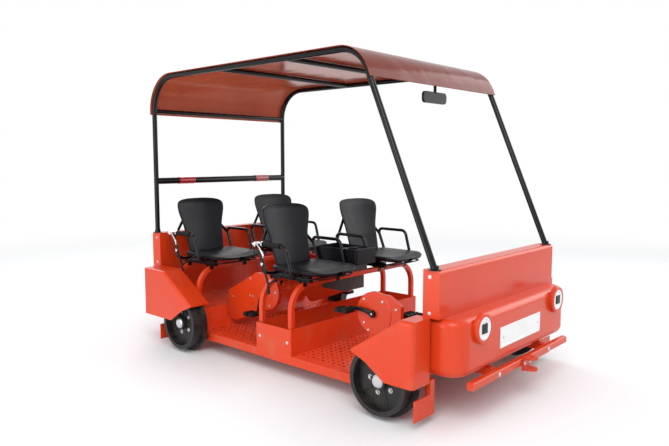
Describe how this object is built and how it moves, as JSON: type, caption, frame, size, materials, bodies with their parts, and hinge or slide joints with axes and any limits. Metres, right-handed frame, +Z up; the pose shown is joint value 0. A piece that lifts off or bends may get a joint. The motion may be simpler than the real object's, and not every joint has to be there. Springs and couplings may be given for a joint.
{
  "type": "railway handcar",
  "caption": "Pedal-driven rail car with paired seats, cranks in front of each seat, low perforated platform, flanged wheels and an open canopy.",
  "frame": {"origin": "centre of the plane under the wheel flanges, midway between the two ends", "axes": "-Y towards the front, -X towards the vehicle's right side, +Z up"},
  "size_m": [1.59, 2.9038, 1.9048],
  "materials": {
    "orange_paint": "glossy orange-red paint",
    "black_paint": "gloss black paint",
    "black_plastic": "fine-grained black plastic",
    "wheel_black": "dull black coating",
    "bright_steel": "plain bright steel",
    "white_paint": "gloss white paint",
    "roof_plastic": "translucent brown sheet",
    "red_reflector": "red reflective plastic",
    "brown_plastic": "dark brown plastic",
    "mirror": "mirror in a black case"
  },
  "bodies": {
    "chassis": {"axle_boxes": "orange_paint", "underframe": "orange_paint", "floor_pan": "orange_paint", "sills": "orange_paint", "front_ledge": "orange_paint", "rear_ledge": "orange_paint", "front_tray": "orange_paint", "hoops": "orange_paint", "seat_rails": "black_paint", "front_body": "orange_paint", "rear_body": "orange_paint", "fairings": "orange_paint", "fenders": "orange_paint", "lamp_bezels": "orange_paint", "lamp_discs": "white_paint", "lamp_pupils": "black_plastic", "plates": "white_paint", "bumpers": "orange_paint", "tow_bar": "orange_paint", "rail_guards": "orange_paint", "crank_cases": "orange_paint", "console": "black_plastic", "console_bin": "brown_plastic", "notice_board": "white_paint", "roof_side_tubes": "black_paint", "roof_ribs": "black_paint", "roof_sheet": "roof_plastic", "rear_cross_bar": "black_paint", "reflectors": "red_reflector", "mirror": "mirror"},
    "front_wheelset": {"front_axle": "bright_steel", "front_wheels": "wheel_black"},
    "rear_wheelset": {"rear_axle": "bright_steel", "rear_wheels": "wheel_black"},
    "front_right_seat": {"front_right_seat": "black_plastic", "front_right_seat_frame": "black_paint", "front_brake_bracket": "black_paint", "front_brake_lever": "bright_steel"},
    "front_right_crank": {"front_right_crank": "black_paint"},
    "front_right_outer_pedal": {"front_right_outer_pedal": "black_plastic"},
    "front_right_inner_pedal": {"front_right_inner_pedal": "black_plastic"},
    "front_left_seat": {"front_left_seat": "black_plastic", "front_left_seat_frame": "black_paint"},
    "front_left_crank": {"front_left_crank": "black_paint"},
    "front_left_outer_pedal": {"front_left_outer_pedal": "black_plastic"},
    "front_left_inner_pedal": {"front_left_inner_pedal": "black_plastic"},
    "rear_right_seat": {"rear_right_seat": "black_plastic", "rear_right_seat_frame": "black_paint", "rear_brake_bracket": "black_paint", "rear_brake_lever": "bright_steel"},
    "rear_right_crank": {"rear_right_crank": "black_paint"},
    "rear_right_outer_pedal": {"rear_right_outer_pedal": "black_plastic"},
    "rear_right_inner_pedal": {"rear_right_inner_pedal": "black_plastic"},
    "rear_left_seat": {"rear_left_seat": "black_plastic", "rear_left_seat_frame": "black_paint"},
    "rear_left_crank": {"rear_left_crank": "black_paint"},
    "rear_left_outer_pedal": {"rear_left_outer_pedal": "black_plastic"},
    "rear_left_inner_pedal": {"rear_left_inner_pedal": "black_plastic"}
  },
  "joints": [
    {"name": "front_wheels_roll", "type": "hinge", "parent": "chassis", "child": "front_wheelset", "pos_m": [0, -0.96, 0.197], "axis": [1, 0, 0], "continuous": true},
    {"name": "rear_wheels_roll", "type": "hinge", "parent": "chassis", "child": "rear_wheelset", "pos_m": [0, 0.75, 0.197], "axis": [1, 0, 0], "continuous": true},
    {"name": "front_right_seat_slide", "type": "slide", "parent": "chassis", "child": "front_right_seat", "axis": [0, -1, 0], "range_m": [-0.06, 0.1]},
    {"name": "front_right_crank_turn", "type": "hinge", "parent": "chassis", "child": "front_right_crank", "pos_m": [-0.365, -0.65, 0.428], "axis": [1, 0, 0], "continuous": true},
    {"name": "front_right_outer_pedal_turn", "type": "hinge", "parent": "front_right_crank", "child": "front_right_outer_pedal", "pos_m": [-0.482, -0.49039, 0.43916], "axis": [1, 0, 0], "continuous": true},
    {"name": "front_right_inner_pedal_turn", "type": "hinge", "parent": "front_right_crank", "child": "front_right_inner_pedal", "pos_m": [-0.248, -0.80961, 0.41684], "axis": [1, 0, 0], "continuous": true},
    {"name": "front_left_seat_slide", "type": "slide", "parent": "chassis", "child": "front_left_seat", "axis": [0, -1, 0], "range_m": [-0.06, 0.1]},
    {"name": "front_left_crank_turn", "type": "hinge", "parent": "chassis", "child": "front_left_crank", "pos_m": [0.365, -0.65, 0.428], "axis": [1, 0, 0], "continuous": true},
    {"name": "front_left_outer_pedal_turn", "type": "hinge", "parent": "front_left_crank", "child": "front_left_outer_pedal", "pos_m": [0.482, -0.49039, 0.43916], "axis": [1, 0, 0], "continuous": true},
    {"name": "front_left_inner_pedal_turn", "type": "hinge", "parent": "front_left_crank", "child": "front_left_inner_pedal", "pos_m": [0.248, -0.80961, 0.41684], "axis": [1, 0, 0], "continuous": true},
    {"name": "rear_right_seat_slide", "type": "slide", "parent": "chassis", "child": "rear_right_seat", "axis": [0, -1, 0], "range_m": [-0.06, 0.1]},
    {"name": "rear_right_crank_turn", "type": "hinge", "parent": "chassis", "child": "rear_right_crank", "pos_m": [-0.365, 0.27, 0.428], "axis": [1, 0, 0], "continuous": true},
    {"name": "rear_right_outer_pedal_turn", "type": "hinge", "parent": "rear_right_crank", "child": "rear_right_outer_pedal", "pos_m": [-0.482, 0.32994, 0.27965], "axis": [1, 0, 0], "continuous": true},
    {"name": "rear_right_inner_pedal_turn", "type": "hinge", "parent": "rear_right_crank", "child": "rear_right_inner_pedal", "pos_m": [-0.248, 0.21006, 0.57635], "axis": [1, 0, 0], "continuous": true},
    {"name": "rear_left_seat_slide", "type": "slide", "parent": "chassis", "child": "rear_left_seat", "axis": [0, -1, 0], "range_m": [-0.06, 0.1]},
    {"name": "rear_left_crank_turn", "type": "hinge", "parent": "chassis", "child": "rear_left_crank", "pos_m": [0.365, 0.27, 0.428], "axis": [1, 0, 0], "continuous": true},
    {"name": "rear_left_outer_pedal_turn", "type": "hinge", "parent": "rear_left_crank", "child": "rear_left_outer_pedal", "pos_m": [0.482, 0.32994, 0.27965], "axis": [1, 0, 0], "continuous": true},
    {"name": "rear_left_inner_pedal_turn", "type": "hinge", "parent": "rear_left_crank", "child": "rear_left_inner_pedal", "pos_m": [0.248, 0.21006, 0.57635], "axis": [1, 0, 0], "continuous": true}
  ]
}
